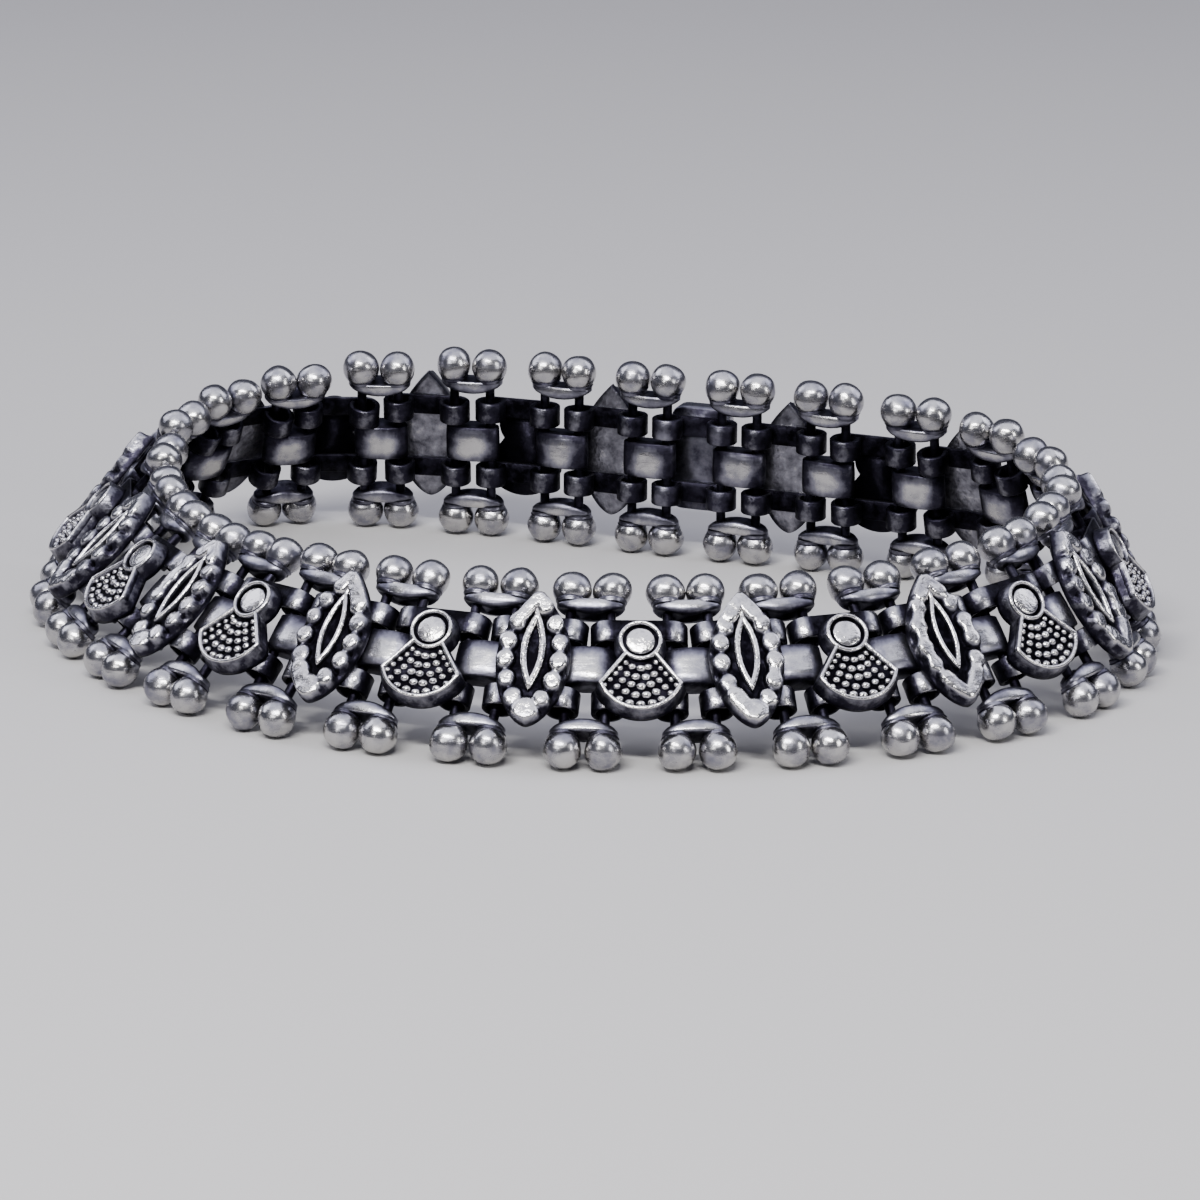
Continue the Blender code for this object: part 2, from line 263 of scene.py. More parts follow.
print("a small spindle has", len(turned([(0, -1, 1), (1, 0, 1), (0, 1, 1)], (0, 0, 0), 24)[1]), "faces")

# %% [markdown]
# ## Outlines and rims
# Most parts start as a flat outline that is set at one height after another. A rim is flat
# wire bent on edge and soldered down, and its top is soon rubbed round and bright. A curve
# with a bevel could draw it, but here its corners are mitred and its wear comes with it.

# %% Flat outlines and a rim
# Rows of the rim's section: how far across and below the top, both in half widths, and wear.
RIM_SECTION = ((-1.0, 0.9, 0.6), (-0.72, 0.27, 1), (0.0, 0.0, 1), (0.72, 0.27, 1), (1.0, 0.9, 0.6))
MITRE_LIMIT = 0.6
RIM_INNER_WEAR, RIM_OUTER_WEAR = 0.1, 0.2


def at_height(outline, height):
    """An outline of X and Y at a height along the pins."""
    return np.column_stack((outline[:, 0], outline[:, 1], height * np.ones(len(outline))))


def at_depth(outline, outward):
    """An outline of X and Z at a distance outwards."""
    return np.column_stack((outline[:, 0], -outward * np.ones(len(outline)), outline[:, 1]))


def arc(centre, radius, start, end, steps):
    """Points on an arc, both ends included."""
    turns = np.linspace(start, end, steps + 1)
    return np.column_stack((centre[0] + radius * np.cos(turns), centre[1] + radius * np.sin(turns)))


def hump(values, middle, width, power=2):
    """A smooth hump, 1 at its middle and near 0 beyond its width; flatter for a higher power."""
    return np.exp(-((values - middle) / width) ** power)


def rim(path, closed, half, floor, top):
    """A rim along a path of X and Z: upright sides from a floor and a rounded top."""
    ahead = np.roll(path, -1, 0) - path
    behind = path - np.roll(path, 1, 0)
    if not closed:
        ahead[-1], behind[0] = behind[-1], ahead[0]
    ahead /= np.linalg.norm(ahead, axis=1)[:, None]
    behind /= np.linalg.norm(behind, axis=1)[:, None]
    mean = ahead + behind
    mean /= np.linalg.norm(mean, axis=1)[:, None]
    stretch = 1 / np.clip((mean * ahead).sum(1), MITRE_LIMIT, 1)
    side = np.column_stack((mean[:, 1], -mean[:, 0])) * stretch[:, None] * half
    section = [(across, top - below * half, rubbed) for across, below, rubbed in RIM_SECTION]
    section = [(-1.0, floor, RIM_INNER_WEAR)] + section + [(1.0, floor, RIM_OUTER_WEAR)]
    loops = [at_depth(path + side * across, outward) for across, outward, _ in section]
    points, faces, wear = lofted(loops, [rubbed for _, _, rubbed in section], (False, False))
    if not closed:
        count = len(path)
        faces = [face for face in faces if {face[0] % count, face[1] % count} != {0, count - 1}]
    return points, faces, wear


print("a rim's section has", len(RIM_SECTION) + 2, "points")

# %% [markdown]
# ## Joining shapes into a piece
# A soldered piece is one object here too. The shapes are put together, set in their place
# round the loop and given the wear as an attribute, which the silver's material reads. Soft
# shading is right for nearly all of it, because tumbling rounds every edge of such work, and
# the few crisp edges have their own narrow bevels.

# %% From shapes to an object
made = {}


def pieced(name, shapes, place, finish, node):
    """One object from shapes in millimetres, riding on the bracelet in place of its solid."""
    points, faces, wear, base = [], [], [], 0
    for shape_points, shape_faces, shape_wear in shapes:
        points.append(shape_points)
        wear.append(shape_wear)
        faces.extend(tuple(base + i for i in face) for face in shape_faces)
        base += len(shape_points)
    turn = np.array(place.to_3x3())
    world = np.vstack(points) * MM @ turn.T + np.array(place.translation)
    mesh = bpy.data.meshes.new(name)
    mesh.from_pydata(world.tolist(), [], faces)
    mesh.shade_smooth()
    values = np.concatenate(wear).astype(np.float32)
    mesh.attributes.new("wear", "FLOAT", "POINT").data.foreach_set("value", values)
    mesh.materials.append(finish)
    piece = bpy.data.objects.new(name, mesh)
    bpy.context.scene.collection.objects.link(piece)
    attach(piece, "root")
    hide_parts(node)
    made[name] = sum(len(face) - 2 for face in faces)
    return piece


print("solids to replace:", len(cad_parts))

# %% [markdown]
# ## Oxidised silver
# Sterling silver is dipped in a sulphur bath, which turns all of it black, and then polished.
# The polish takes the black off wherever it reaches. So the eye gets near-white high spots,
# greys on the flanks and violet black in the recesses, all of it metal: the black is a thin
# film over silver, so only colour and roughness change. The wear at each point drives both,
# with a cloudy noise in between, because no polish is even.

# %% Colours and nodes


def linear(hex_text):
    """A colour's linear values from its sRGB hex."""
    parts = [int(hex_text[i:i + 2], 16) / 255 for i in (1, 3, 5)]
    return tuple(v / 12.92 if v <= 0.04045 else ((v + 0.055) / 1.055) ** 2.4 for v in parts) + (1.0,)


def add_node(tree, kind, settings=None, links=None):
    """A node with its settings, given by property or by socket, and its incoming links."""
    node = tree.nodes.new(kind)
    for key, value in (settings or {}).items():
        if isinstance(key, str) and key in node.bl_rna.properties:
            setattr(node, key, value)
        else:
            node.inputs[key].default_value = value
    for key, output in (links or {}).items():
        tree.links.new(output, node.inputs[key])
    return node


def ramp_of(node, stops):
    """Set a colour ramp's stops: place and colour."""
    ramp = node.color_ramp
    while len(ramp.elements) > len(stops):
        ramp.elements.remove(ramp.elements[-1])
    while len(ramp.elements) < len(stops):
        ramp.elements.new(1.0)
    for element, (where, colour) in zip(ramp.elements, stops):
        element.position = where
        element.color = colour
    return node


print("mid grey in linear values:", [round(value, 3) for value in linear("#808080")[:3]])

# %% [markdown]
# ## Marks in the metal
# Polishing leaves fine scratches, a few hundredths of a millimetre wide, and casting leaves a
# grain of about a tenth. A pixel of the render covers about 0.08 mm, so both are too fine to
# show. They are drawn as coarse as they need to be: scratches 0.18 mm wide and 1.6 mm long,
# and a grain of 0.3 to 0.45 mm. The scratches break up the gloss, and all of the marks tip
# the surface a little, which is what makes hand-worked silver glitter unevenly.

# %% The silver
SCRATCH_LENGTH = 1.6 * MM
SCRATCH_STRETCH = 9.0
SCRATCH_TURN = (0.4, 0.5, 0.3)
SCRATCH_GLOSS = 0.12
SCRATCH_DEPTH = 0.02 * MM
Finish = namedtuple("Finish", "name stops roughness cloud_mm cloud_strength grain_mm grain_depth dents")


def silver(finish):
    """Silver whose colour and roughness follow the wear, with scratches, grain and dents."""
    material = bpy.data.materials.new(finish.name)
    material.use_nodes = True
    tree = material.node_tree
    shader = tree.nodes["Principled BSDF"]
    shader.inputs["Metallic"].default_value = 1.0
    spot = add_node(tree, "ShaderNodeTexCoord")
    rubbed = add_node(tree, "ShaderNodeAttribute", {"attribute_name": "wear"})
    cloud = add_node(tree, "ShaderNodeTexNoise",
                     {"Scale": 1 / (finish.cloud_mm * MM), "Detail": 4.0, "Roughness": 0.6},
                     {"Vector": spot.outputs["Object"]})
    uneven = add_node(tree, "ShaderNodeMapRange",
                      {"To Min": -finish.cloud_strength, "To Max": finish.cloud_strength,
                       "From Min": 0.3, "From Max": 0.7},
                      {"Value": cloud.outputs["Fac"]})
    level = add_node(tree, "ShaderNodeMath", {"operation": "ADD", "use_clamp": True},
                     {0: rubbed.outputs["Fac"], 1: uneven.outputs["Result"]})
    colour = ramp_of(add_node(tree, "ShaderNodeValToRGB", {}, {"Fac": level.outputs["Value"]}),
                     [(where, linear(text)) for where, text in finish.stops])
    gloss = add_node(tree, "ShaderNodeMapRange",
                     {"To Min": finish.roughness[0], "To Max": finish.roughness[1]},
                     {"Value": level.outputs["Value"]})
    scratch_space = add_node(tree, "ShaderNodeMapping",
                             {"Scale": (1.0, 1.0, SCRATCH_STRETCH), "Rotation": SCRATCH_TURN},
                             {"Vector": spot.outputs["Object"]})
    scratches = add_node(tree, "ShaderNodeTexNoise", {"Scale": 1 / SCRATCH_LENGTH, "Detail": 3.0},
                         {"Vector": scratch_space.outputs["Vector"]})
    streaked = add_node(tree, "ShaderNodeMath", {"operation": "MULTIPLY_ADD", 1: SCRATCH_GLOSS},
                        {0: scratches.outputs["Fac"], 2: gloss.outputs["Result"]})
    tree.links.new(colour.outputs["Color"], shader.inputs["Base Color"])
    tree.links.new(streaked.outputs["Value"], shader.inputs["Roughness"])
    grain = add_node(tree, "ShaderNodeTexNoise", {"Scale": 1 / (finish.grain_mm * MM), "Detail": 2.0},
                     {"Vector": spot.outputs["Object"]})
    marks = add_node(tree, "ShaderNodeBump", {"Strength": 0.6, "Distance": SCRATCH_DEPTH},
                     {"Height": scratches.outputs["Fac"]})
    relief = add_node(tree, "ShaderNodeBump", {"Strength": 1.0, "Distance": finish.grain_depth * MM},
                      {"Height": grain.outputs["Fac"], "Normal": marks.outputs["Normal"]})
    dents = add_node(tree, "ShaderNodeBump", {"Strength": 1.0, "Distance": finish.dents * MM},
                     {"Height": cloud.outputs["Fac"], "Normal": relief.outputs["Normal"]})
    tree.links.new(dents.outputs["Normal"], shader.inputs["Normal"])
    return material


print("scratches drawn", round(SCRATCH_LENGTH / SCRATCH_STRETCH / MM, 2), "mm wide")

# %% [markdown]
# ## Two finishes
# Balls, plates and sleeves stand proud and are rubbed all over: a soft, cloudy grey silver with
# broad highlights. The cast links keep more of the bath's black in their relief, and their
# small high spots are rubbed whiter. One material with two sets of values gives both, and the
# wear decides how far each spot has gone from the first colour to the last.

# %% Polished and oxidised
polished_silver = silver(Finish(
    name="polished_silver",
    stops=[(0.0, "#0C0A11"), (0.3, "#32303C"), (0.65, "#7D7C87"), (1.0, "#BDBBB9")],
    roughness=(0.46, 0.16), cloud_mm=1.6, cloud_strength=0.24,
    grain_mm=0.45, grain_depth=0.012, dents=0.05))
oxidised_silver = silver(Finish(
    name="oxidised_silver",
    stops=[(0.0, "#07060A"), (0.35, "#292732"), (0.7, "#88878F"), (1.0, "#D4D1CE")],
    roughness=(0.50, 0.14), cloud_mm=0.9, cloud_strength=0.18,
    grain_mm=0.30, grain_depth=0.03, dents=0.08))
print("materials:", polished_silver.name, oxidised_silver.name)

# %% [markdown]
# ## Rolled straps
# Behind each link run two straps of thin sheet. Both ends of a strap are rolled round a pin,
# so the link can turn. A strap is drawn from above, as one outline that runs along the front,
# round the roll and back, and that outline is then pulled up to the strap's height. It stays
# nearly black but for each roll's front and its back. The front is rubbed by fingers, and a
# painted highlight is laid into its colour there as well; the back lies on skin.

# %% Straps with their rolls
EYE = EYE_SPACING / 2 / MM
ROLL_OUTER = 1.16
ROLL_INNER = 0.80
ROLL_START = -math.pi / 2
ROLL_END = 1.17 * math.pi
ROLL_STEPS = 22
FLAT_END = EYE - 0.4
STRAP_LOW, STRAP_HIGH = 1.80, 3.35
STRAP_BEVEL = 0.07
FLAT_WEAR, ROLL_WEAR, INSIDE_WEAR = 0.04, 0.12, 0.08
Rub = namedtuple("Rub", "strength turn width")
# The front rub is real wear with a painted highlight: a bright bar in the colour where the roll's front
# catches the light.
FRONT_RUB_AND_HIGHLIGHT, BACK_RUB = Rub(0.75, -1.25, 0.4), Rub(0.35, 1.6, 0.6)


def strap(low, high):
    """One strap between two heights."""
    def outline(inset):
        outer = arc((EYE, 0.0), ROLL_OUTER - inset, ROLL_START, ROLL_END, ROLL_STEPS)
        inner = arc((EYE, 0.0), ROLL_INNER + inset, ROLL_END, ROLL_START, ROLL_STEPS)
        flat = np.array([(FLAT_END, 0.0)])
        right = np.vstack((flat - (0, ROLL_OUTER - inset), outer,
                           inner, flat - (0, ROLL_INNER + inset)))
        return np.vstack((right, right[::-1] * (-1, 1)))

    levels = ((STRAP_BEVEL, low), (0.0, low + STRAP_BEVEL),
              (0.0, high - STRAP_BEVEL), (STRAP_BEVEL, high))
    points, faces, _ = lofted([at_height(outline(inset), height) for inset, height in levels], (0,) * 4)
    turns = np.linspace(ROLL_START, ROLL_END, ROLL_STEPS + 1)
    # Front hump: real wear plus a painted highlight on the roll's front; back hump: wear from the skin.
    rubbed = ROLL_WEAR + FRONT_RUB_AND_HIGHLIGHT.strength * hump(turns, FRONT_RUB_AND_HIGHLIGHT.turn, FRONT_RUB_AND_HIGHLIGHT.width)
    rubbed += BACK_RUB.strength * hump(turns, BACK_RUB.turn, BACK_RUB.width)
    half = np.r_[FLAT_WEAR, rubbed, np.full(ROLL_STEPS + 2, INSIDE_WEAR)]
    return points, faces, np.tile(np.r_[half, half[::-1]], len(levels))


straps = [strap(STRAP_LOW, STRAP_HIGH), strap(-STRAP_HIGH, -STRAP_LOW)]
print("a strap's faces:", len(straps[0][1]))

# %% [markdown]
# ## Connectors
# A connector is two pins held apart by end plates and by a sleeve of bent sheet in the
# middle, with a solid ball soldered on each end of each pin. The balls are drops of melted
# silver, never quite round, so each gets its own slight push and pull. A perfect sphere would
# look like a bearing ball. A low collar of solder closes the gap between ball and plate.

# %% Balls and solder
BALL_ROWS, BALL_SIDES = 18, 30
# A ball's wear starts below 0 at its plate, so its foot stays black, and soon climbs to the full value.
BALL_FOOT_WEAR, BALL_WEAR_CLIMB, BALL_WEAR = -0.42, 4.2, 0.86
BALL_PUSH, BALL_PUSH_SCALE = 0.07, 0.75
BALL_STRETCH = (-0.03, 0.01)
PLATE_HIGH = 5.05
# Rows of the solder: radius, rise over the plate, wear.
SOLDER_ROWS = ((0.98, -0.10, 0.4), (1.00, 0.06, 0.5), (1.08, 0.18, 0.3), (0.9, 0.26, 0))
ball_chance = random.Random(28)


def ball(x, up):
    """One ball of melted silver, dark where it meets its plate."""
    rows = []
    for i in range(BALL_ROWS + 1):
        angle = math.pi * i / BALL_ROWS
        rows.append((BALL_RADIUS * math.sin(angle) if 0 < i < BALL_ROWS else 0,
                     -up * BALL_RADIUS * math.cos(angle),
                     min(BALL_WEAR, max(0.0, BALL_WEAR_CLIMB * i / BALL_ROWS + BALL_FOOT_WEAR))))
    points, faces, wear = turned(rows, (0, 0, 0), BALL_SIDES)
    seed = Vector([ball_chance.uniform(0, 90) for _ in range(3)])
    push = np.array([1 + BALL_PUSH * noise.noise(Vector(p) * BALL_PUSH_SCALE + seed) for p in points])
    stretch = np.array([1 + ball_chance.uniform(*BALL_STRETCH) for _ in range(3)])
    if up < 0:
        faces = [face[::-1] for face in faces]
    return points * push[:, None] * stretch + (x, 0, up * BALL_RISE), faces, wear


def solder(x, up):
    """The solder that runs up round a ball from its plate."""
    rows = [(radius, PLATE_HIGH + rise, rubbed) for radius, rise, rubbed in SOLDER_ROWS]
    points, faces, wear = turned(rows, (x, 0, 0), 24)
    if up < 0:
        points[:, 2] *= -1
        faces = [face[::-1] for face in faces]
    return points, faces, wear


print("a ball is", 2 * BALL_RADIUS, "mm across")

# %% [markdown]
# ## Plates and sleeve
# An end plate is a thick lens of silver, flat under its balls and bulging on the other side.
# The sleeve is sheet bent into a flattened tube. Both are a squarish oval set at one height
# after another. Both are brightest at their middle and darker towards their ends: partly real
# patina, where the links at their sides keep the polishing cloth off, and partly painted shade
# of those links. A cube with bevels would be quicker, but it wouldn't thin out towards the
# plate's ends.

# %% Plates and sleeve
PLATE_WIDTH, PLATE_FRONT, PLATE_BACK, PLATE_POWER = 4.70, 1.02, 0.95, 0.82
LENS_HALF = 2.45
LENS_EDGE = 0.2
PlateLoop = namedtuple("PlateLoop", "share drop depth wear")
PLATE_LOOPS = (
    PlateLoop(0.50, 0.00, 0.00, 0.30),
    PlateLoop(0.90, 0.00, 0.00, 0.50),
    PlateLoop(0.98, 0.05, 0.00, 0.80),
    PlateLoop(1.00, 0.10, 0.12, 0.90),
    PlateLoop(1.00, 0.10, 0.40, 0.80),
    PlateLoop(0.95, 0.10, 0.68, 0.55),
    PlateLoop(0.82, 0.10, 0.86, 0.40),
    PlateLoop(0.50, 0.10, 0.92, 0.30),
)
SLEEVE_WIDTH, SLEEVE_FRONT, SLEEVE_BACK, SLEEVE_POWER = 4.06, 1.05, 0.85, 0.90
SLEEVE_HALF, SLEEVE_BEVEL = 1.35, 0.07
# Rows of the sleeve: share of its outline, height.
SLEEVE_ROWS = ((0.93, -SLEEVE_HALF), (1.0, SLEEVE_BEVEL - SLEEVE_HALF), (1.02, -0.6), (1.02, 0.4),
               (1.0, SLEEVE_HALF - SLEEVE_BEVEL), (0.93, SLEEVE_HALF))
# The sleeve's rub is real wear with painted shade: bright in its middle, darker towards its ends and edges,
# most at the top.
SLEEVE_LOW_WEAR, SLEEVE_RUB_AND_SHADE = 0.22, 0.76


def rounded(width, front, back, power, count=44):
    """Plan of a plate or sleeve: an oval with squarer corners the lower its power is."""
    turns = np.linspace(0, 2 * math.pi, count, endpoint=False)
    cosine, sine = np.cos(turns), np.sin(turns)
    return np.column_stack((width / 2 * np.sign(cosine) * abs(cosine) ** power,
                            np.where(sine < 0, front, back) * np.sign(sine) * abs(sine) ** power))


def plate(up):
    """An end plate under a pair of balls: flat on the balls' side, bulging on the other."""
    outline = rounded(PLATE_WIDTH, PLATE_FRONT, PLATE_BACK, PLATE_POWER, 48)
    full = np.sqrt(np.clip(1 - (outline[:, 0] / LENS_HALF) ** 2, 0, 1))
    bulge = LENS_EDGE + (1 - LENS_EDGE) * full
    loops = [at_height(outline * row.share, up * (PLATE_HIGH - row.drop - row.depth * bulge))
             for row in PLATE_LOOPS]
    wear = [row.wear for row in PLATE_LOOPS]
    if up > 0:
        loops.reverse()
        wear.reverse()
    points, faces, wear = lofted(loops, wear)
    # Darker towards both ends, down to 0.6 of the wear: partly real patina and partly painted shade of the
    # links beside the plate.
    return points, faces, wear * (0.6 + 0.4 * hump(points[:, 0], 0, 1.3, 4))


def sleeve():
    """The bent sheet in the middle."""
    outline = rounded(SLEEVE_WIDTH, SLEEVE_FRONT, SLEEVE_BACK, SLEEVE_POWER)
    points, faces, _ = lofted([at_height(outline * share, height) for share, height in SLEEVE_ROWS],
                              (0,) * len(SLEEVE_ROWS))
    # Real wear with painted shade: bright in the middle, darker towards the ends and the top and bottom
    # edges, most at the top, where the links and their rolls shade the sleeve.
    rubbed = hump(points[:, 0], 0, 1.2, 4) * hump(points[:, 2], -0.2, 1.1, 4)
    return points, faces, SLEEVE_LOW_WEAR + SLEEVE_RUB_AND_SHADE * rubbed


print("plate loops:", len(PLATE_LOOPS), "sleeve rows:", len(SLEEVE_ROWS))

# %% Assemble the connectors
PIN_RADIUS, PIN_HALF, PIN_WEAR = 0.36, 4.4, 0.08


def connector():
    """All the shapes of one connector."""
    half = PIN_SPACING / 2 / MM
    pin_rows = [(PIN_RADIUS, -PIN_HALF, PIN_WEAR), (PIN_RADIUS, PIN_HALF, PIN_WEAR)]
    shapes = [plate(1), plate(-1), sleeve()]
    for x in (-half, half):
        shapes.append(turned(pin_rows, (x, 0, 0), 12))
        shapes.extend(ball(x, up) for up in (-1, 1))
        shapes.extend(solder(x, up) for up in (-1, 1))
    return shapes


for k, place in enumerate(connector_places):
    name = f"connector_{k + 1:02d}"
    pieced(name + "_silver", connector(), place, polished_silver, name)
print("connectors:", STATIONS, "with", made["connector_01_silver"], "triangles each")

# %% [markdown]
# ## Marquise links
# The pointed oval is cast in one: a plate with a border of flattened beads, a hood at the
# top, a drop at the bottom, and in the sunk field an oval of raised wire. Balls and tubes put
# side by side would show hard seams where a casting runs together. So the face is a relief:
# a net of points over the oval, each pushed out to the highest form above it, then smoothed a
# little, as wax is.

# %% The pointed oval and its forms
MARQUISE_HALF_HEIGHT = 5.12
MARQUISE_HALF_WIDTH = 2.55
BLUNT = 0.62
AROUND, ACROSS = 208, 40
FACE_FLOOR, BACK = 1.80, 1.10
EDGE_DROP = 0.22


def pointed_oval(half_height, half_width, count, blunt=1.0):
    """A pointed oval from the bottom tip up the right and down the left; blunt rounds its foot."""
    turns = np.linspace(-math.pi / 2, math.pi / 2, count // 2, endpoint=False)
    share = np.sin(turns)
    sharpness = np.where(share < 0, blunt, 1.0)
    right = np.column_stack((half_width * (1 - share ** 2) ** sharpness, half_height * share))
    top = np.array([[0.0, half_height]])
    return np.vstack((right, top, (right * (-1, 1))[:0:-1]))


def to_path(points, path):
    """Each point's distance to a path of straight steps."""
    nearest = np.full(points.shape[:-1], 1e9)
    for a, b in zip(path, path[1:]):
        run = b - a
        share = np.clip(((points - a) @ run) / (run @ run), 0, 1)
        nearest = np.minimum(nearest, np.linalg.norm(points - (a + share[..., None] * run), axis=-1))
    return nearest


def crown(distance, radius, rise, power):
    """A rounded form's height over a distance from its middle; flatter for a higher power."""
    inside = rise * np.sqrt(np.clip(1 - (distance / radius) ** power, 0, 1))
    return np.where(distance < radius, inside, -1.0)


print("points in the net of a face:", AROUND * ACROSS)

# %% [markdown]
# ## Seven casts
# No two of the seven ovals at the front are alike. The wax was pressed by hand, so the hood
# reaches further down on one side, the foot is a point, a drop or a wing, some beads run into
# their neighbour, and the wire of the oval is thinner or thicker. One row of a table holds
# that for each, and small random pushes do the rest. The seven other links repeat the rows.

# %% A table of casts
# Length of the hood's arms, their half width, the foot's form, the beads on the left and on the
# right that run into the next one up, and the wire's half width.
Cast = namedtuple("Cast", "hood_left hood_right hood_radius foot merged_left merged_right wire")
CASTS = (
    Cast(1.2, 1.2, 0.60, "point", (), (), 0.19),
    Cast(1.1, 1.2, 0.56, "drop", (2, 3), (), 0.18),
    Cast(1.0, 2.2, 0.60, "wing_left", (), (), 0.20),
    Cast(2.3, 1.0, 0.50, "drop", (), (), 0.27),
    Cast(1.5, 1.4, 0.62, "wing_left", (), (1,), 0.23),
    Cast(1.3, 1.3, 0.58, "point", (1, 2, 3), (0, 2), 0.19),
    Cast(1.1, 1.1, 0.58, "point", (), (1,), 0.20),
)
print("casts:", len(CASTS))

# %% The line of the beads
# It runs through the middles of the beads, from the foot up the right side to the top.
LINE_HALF_HEIGHT, LINE_HALF_WIDTH, LINE_BLUNT, LINE_POINTS = 4.42, 1.87, 0.75, 400
bead_line = pointed_oval(LINE_HALF_HEIGHT, LINE_HALF_WIDTH, LINE_POINTS, LINE_BLUNT)
bead_line = bead_line[:LINE_POINTS // 2 + 1]
line_steps = np.r_[0, np.cumsum(np.linalg.norm(np.diff(bead_line, axis=0), axis=1))]
LINE_LENGTH = line_steps[-1]


def on_line(where, side):
    """The point at a length along the line, on the left (-1) or the right (1)."""
    return np.array([np.interp(where, line_steps, bead_line[:, 0]) * side,
                     np.interp(where, line_steps, bead_line[:, 1])])


print("line of the beads:", round(LINE_LENGTH, 2), "mm on each side")

# %% The relief of a face
# Beads: step along the line, how far the last one may lie past the hood's start, and sizes.
BEAD_STEP, BEAD_PAST_HOOD, BEAD_STRAY = 1.50, 0.125, 0.08
BEAD_HALF_WIDTH, BEAD_HALF_HEIGHT = 0.68, 0.80
BEAD_RISE, BEAD_SIZE = (0.46, 0.58), (0.93, 1.06)
# A bead's random tilt, and how much it turns with each mm of height, to follow the border.
BEAD_TILT, BEAD_TURN = 0.2, 0.12
MERGE_RADIUS, MERGE_RISE = 0.50, 0.50
HOOD_SINK, ARM_RISE = 0.1, 0.58
FOOT_ARM, POINT_RADIUS, WING_RADIUS = 1.9, 0.60, 0.72
DROP_RADIUS, DROP_RISE, DROP_TOP = 1.04, 0.60, -4.22
# How flat the top of each form is.
ARM_POWER, BEAD_POWER, HOOD_POWER, DROP_POWER = 4.0, 4.4, 6.0, 3.6
# The net lies this far inside the plate, and its edge drops from a share of its width on.
NET_INSET_WIDTH, NET_INSET_HEIGHT, NET_POWER = 0.08, 0.14, 0.8
EDGE_SHARE, EDGE_SPAN = 0.80, 0.18
SMOOTHINGS = 2
ROUGH_SCALE, ROUGH_DEPTH, ROUGH_FROM = 1.6, 0.04, 0.3


def smoothed(height):
    """The net's heights, each mixed with its four neighbours."""
    along_rows = (np.roll(height, 1, 1) + np.roll(height, -1, 1)) / 2
    inner = np.vstack((height[:1], height[:-1]))
    outer = np.vstack((height[1:], height[-1:]))
    return 0.5 * height + 0.24 * along_rows + 0.13 * (inner + outer)


def marquise_face(cast, chance):
    """The relief of one link's face: its net of points, and the rise of each above the floor."""
    outline = pointed_oval(MARQUISE_HALF_HEIGHT - NET_INSET_HEIGHT,
                           MARQUISE_HALF_WIDTH - NET_INSET_WIDTH, AROUND, BLUNT)
    shares = np.linspace(0, 1, ACROSS + 1)[1:] ** NET_POWER
    net = shares[:, None, None] * outline[None]
    height = -EDGE_DROP * np.clip((shares - EDGE_SHARE) / EDGE_SPAN, 0, 1)[:, None] * np.ones(AROUND)

    def add(distance, radius, rise, power=ARM_POWER):
        nonlocal height
        height = np.maximum(height, crown(distance, radius, rise, power))

    for side, merged, hood_arm in ((-1, cast.merged_left, cast.hood_left),
                                   (1, cast.merged_right, cast.hood_right)):
        arm_start = LINE_LENGTH - hood_arm
        count = int((arm_start + BEAD_PAST_HOOD) / BEAD_STEP)
        beads = [on_line(BEAD_STEP * (i + 1) + chance.uniform(-BEAD_STRAY, BEAD_STRAY), side)
                 for i in range(count)]
        for i, bead in enumerate(beads):
            size = chance.uniform(*BEAD_SIZE)
            tilt = chance.uniform(-BEAD_TILT, BEAD_TILT) - BEAD_TURN * side * bead[1]
            turn = np.array([[math.cos(tilt), -math.sin(tilt)], [math.sin(tilt), math.cos(tilt)]])
            across = ((net - bead) @ turn) / (BEAD_HALF_WIDTH * size, BEAD_HALF_HEIGHT * size)
            add(np.linalg.norm(across, axis=-1), 1.0, chance.uniform(*BEAD_RISE), BEAD_POWER)
            if i in merged and i + 1 < count:
                add(to_path(net, np.array([bead, beads[i + 1]])), MERGE_RADIUS, MERGE_RISE)
        hood = np.array([on_line(where, side) for where in np.linspace(arm_start, LINE_LENGTH, 6)])
        add(to_path(net, hood - (0, HOOD_SINK)), cast.hood_radius, ARM_RISE, HOOD_POWER)
        if cast.foot == "point" or cast.foot == "wing_left" and side < 0:
            arm = np.array([on_line(where, side) for where in np.linspace(0.0, FOOT_ARM, 5)])
            add(to_path(net, arm), POINT_RADIUS if cast.foot == "point" else WING_RADIUS, ARM_RISE)
    if cast.foot != "point":
        drop = np.array([(0.0, -LINE_HALF_HEIGHT), (chance.uniform(-0.1, 0.1), DROP_TOP)])
        add(to_path(net, drop), DROP_RADIUS, DROP_RISE, DROP_POWER)
    for _ in range(SMOOTHINGS):
        height = smoothed(height)
    seed = chance.uniform(0, 90)
    rough = np.array([[noise.noise(Vector((x * ROUGH_SCALE, z * ROUGH_SCALE, seed))) for x, z in row]
                      for row in net])
    return net, height + ROUGH_DEPTH * rough * np.clip(height / ROUGH_FROM, 0, 1)


trial = marquise_face(CASTS[0], random.Random(0))[1]
print("relief from", round(trial.min(), 2), "to", round(trial.max(), 2), "mm over the floor")

# %% [markdown]
# ## A whole marquise link
# Behind the relief the casting is a plain wall and a flat back. The wire oval and its short
# stem are rims of their own, since on the real link that wire is the sharpest form of all.

# %% Cast the marquise links
RING_HALF_HEIGHT, RING_HALF_WIDTH, RING_RISE = 2.62, 0.64, 0.30
RING_TOP, STEM_TOP = 0.42, 0.40
STEM_END = 3.9
EDGE_ROWS, EDGE_WEAR = 4, 0.3
# Wear of the relief: 0 up to a height, then climbing over a span to its full value.
WEAR_FROM, WEAR_SPAN, FACE_WEAR = 0.14, 0.32, 0.92
RIM_SINK = 0.1
# Rows of the wall, from front to back: inset, distance outwards, wear.
MARQUISE_WALL = ((0.03, 1.54, 0.35), (0.0, 1.46, 0.3), (0.0, 1.32, 0.25), (0.0, BACK + 0.08, 0.2),
                 (0.07, BACK, 0.5), (0.4, BACK, 0.6))


